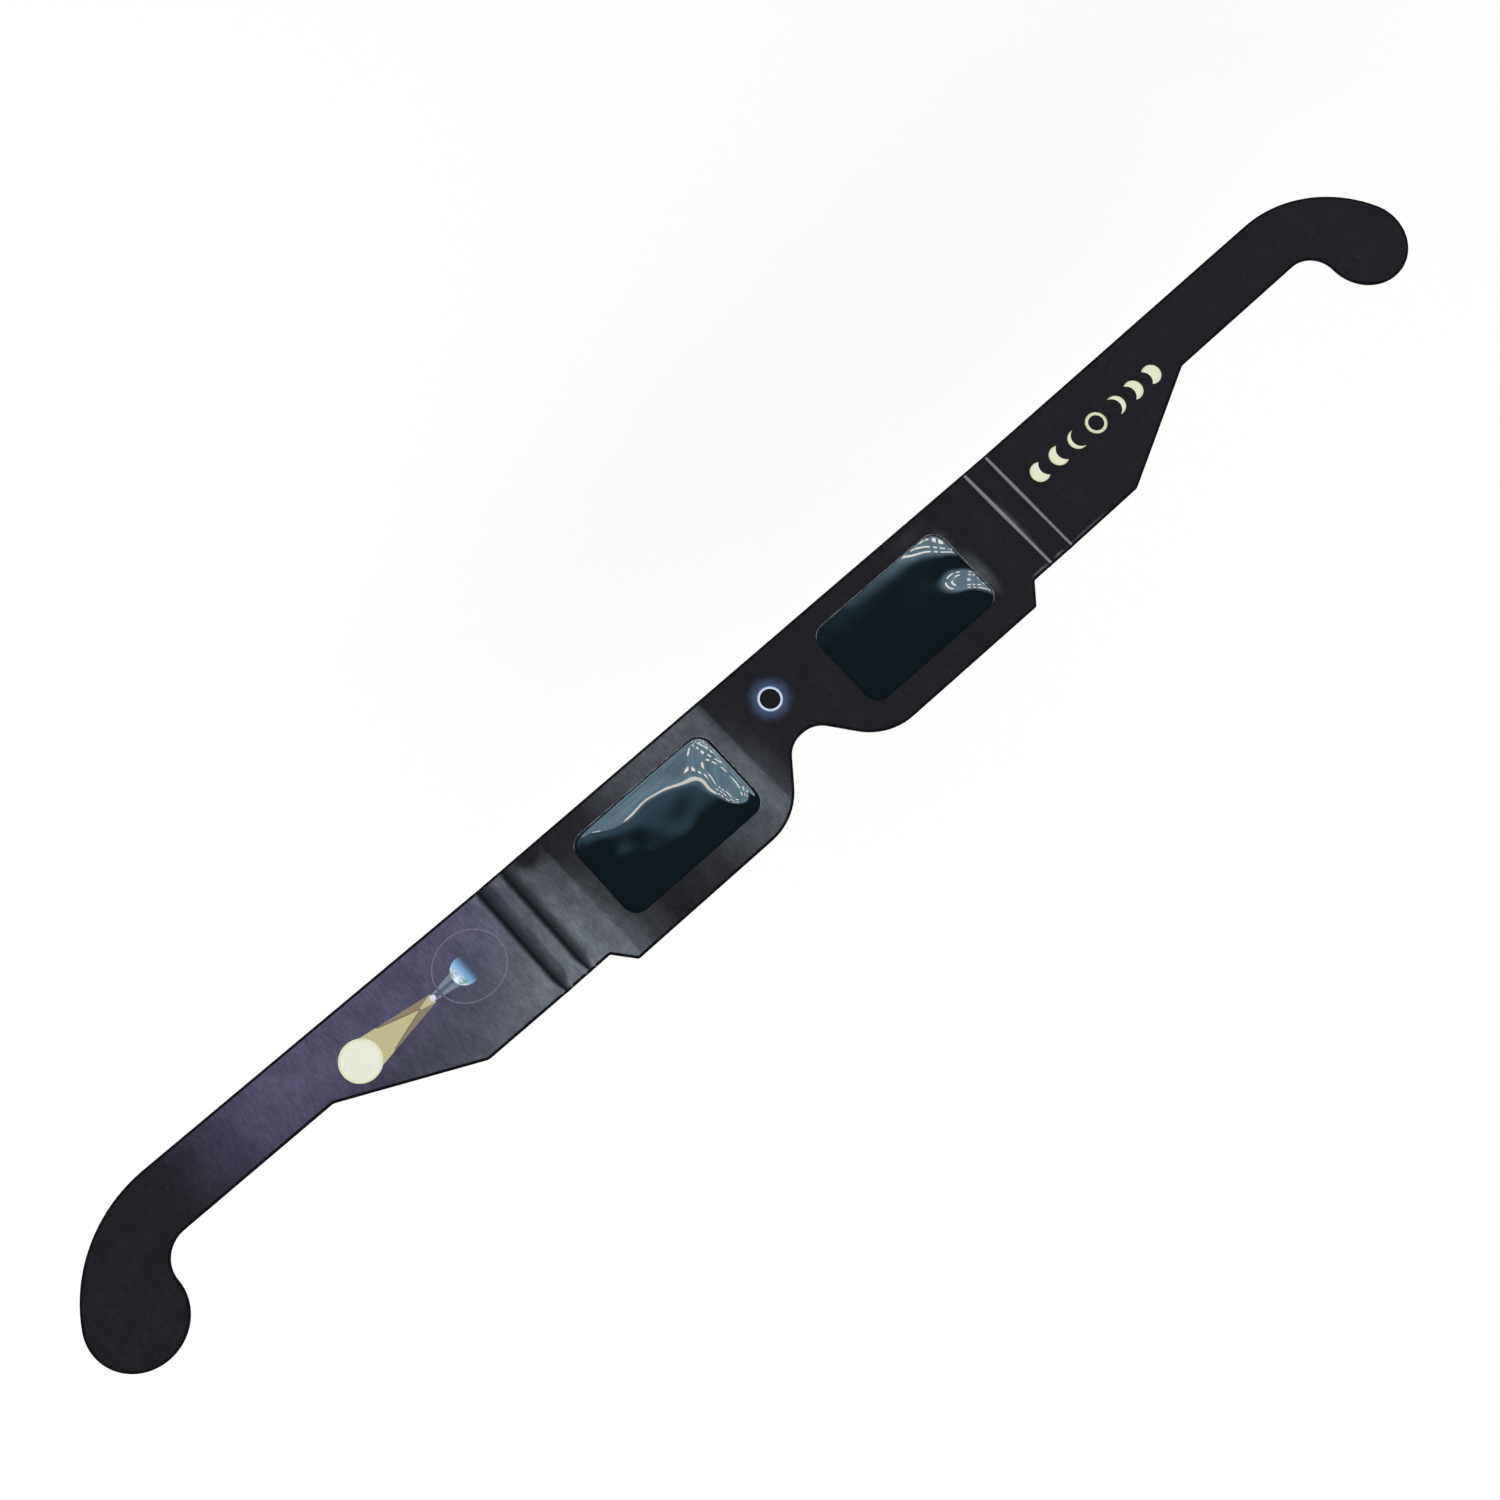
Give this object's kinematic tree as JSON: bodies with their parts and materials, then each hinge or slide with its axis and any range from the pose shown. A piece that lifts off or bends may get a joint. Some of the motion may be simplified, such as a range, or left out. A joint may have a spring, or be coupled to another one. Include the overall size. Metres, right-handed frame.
{
  "type": "card eclipse glasses",
  "caption": "Flat card glasses with dark film windows, a nose notch, and hooked arms that fold back on scored creases.",
  "frame": {"origin": "middle of the whole outline, on the plane that the back patches rest on", "axes": "+X along the length to the right-hand arm as the printed front is seen, +Y up to the brow, +Z out of the printed front"},
  "size_m": [0.366, 0.033, 0.0011],
  "materials": {
    "printed_card": "dark print with a satin varnish",
    "plain_card": "plain uncoated board",
    "solar_film": "glossy black polymer film",
    "glue": "dried milky glue"
  },
  "bodies": {
    "front": {"front_card": "printed_card", "left_back_patch": "plain_card", "right_back_patch": "plain_card", "left_lens_film": "solar_film", "right_lens_film": "solar_film", "left_front_glue": "glue", "right_front_glue": "glue", "left_back_glue": "glue", "right_back_glue": "glue"},
    "left_strip": {"left_inner_crease": "printed_card", "left_hinge_strip": "printed_card", "left_outer_crease": "printed_card"},
    "left_arm": {"left_temple_arm": "printed_card"},
    "right_strip": {"right_inner_crease": "printed_card", "right_hinge_strip": "printed_card", "right_outer_crease": "printed_card"},
    "right_arm": {"right_temple_arm": "printed_card"}
  },
  "joints": [
    {"name": "left_inner_fold", "type": "hinge", "parent": "front", "child": "left_strip", "pos_m": [-0.0651, 0, 0.00046], "axis": [0, -1, 0], "range_deg": [0, 90]},
    {"name": "left_outer_fold", "type": "hinge", "parent": "left_strip", "child": "left_arm", "pos_m": [-0.0712, 0, 0.00046], "axis": [0, -1, 0], "range_deg": [0, 90]},
    {"name": "right_inner_fold", "type": "hinge", "parent": "front", "child": "right_strip", "pos_m": [0.0651, 0, 0.00046], "axis": [0, 1, 0], "range_deg": [0, 90]},
    {"name": "right_outer_fold", "type": "hinge", "parent": "right_strip", "child": "right_arm", "pos_m": [0.0712, 0, 0.00046], "axis": [0, 1, 0], "range_deg": [0, 85]}
  ]
}
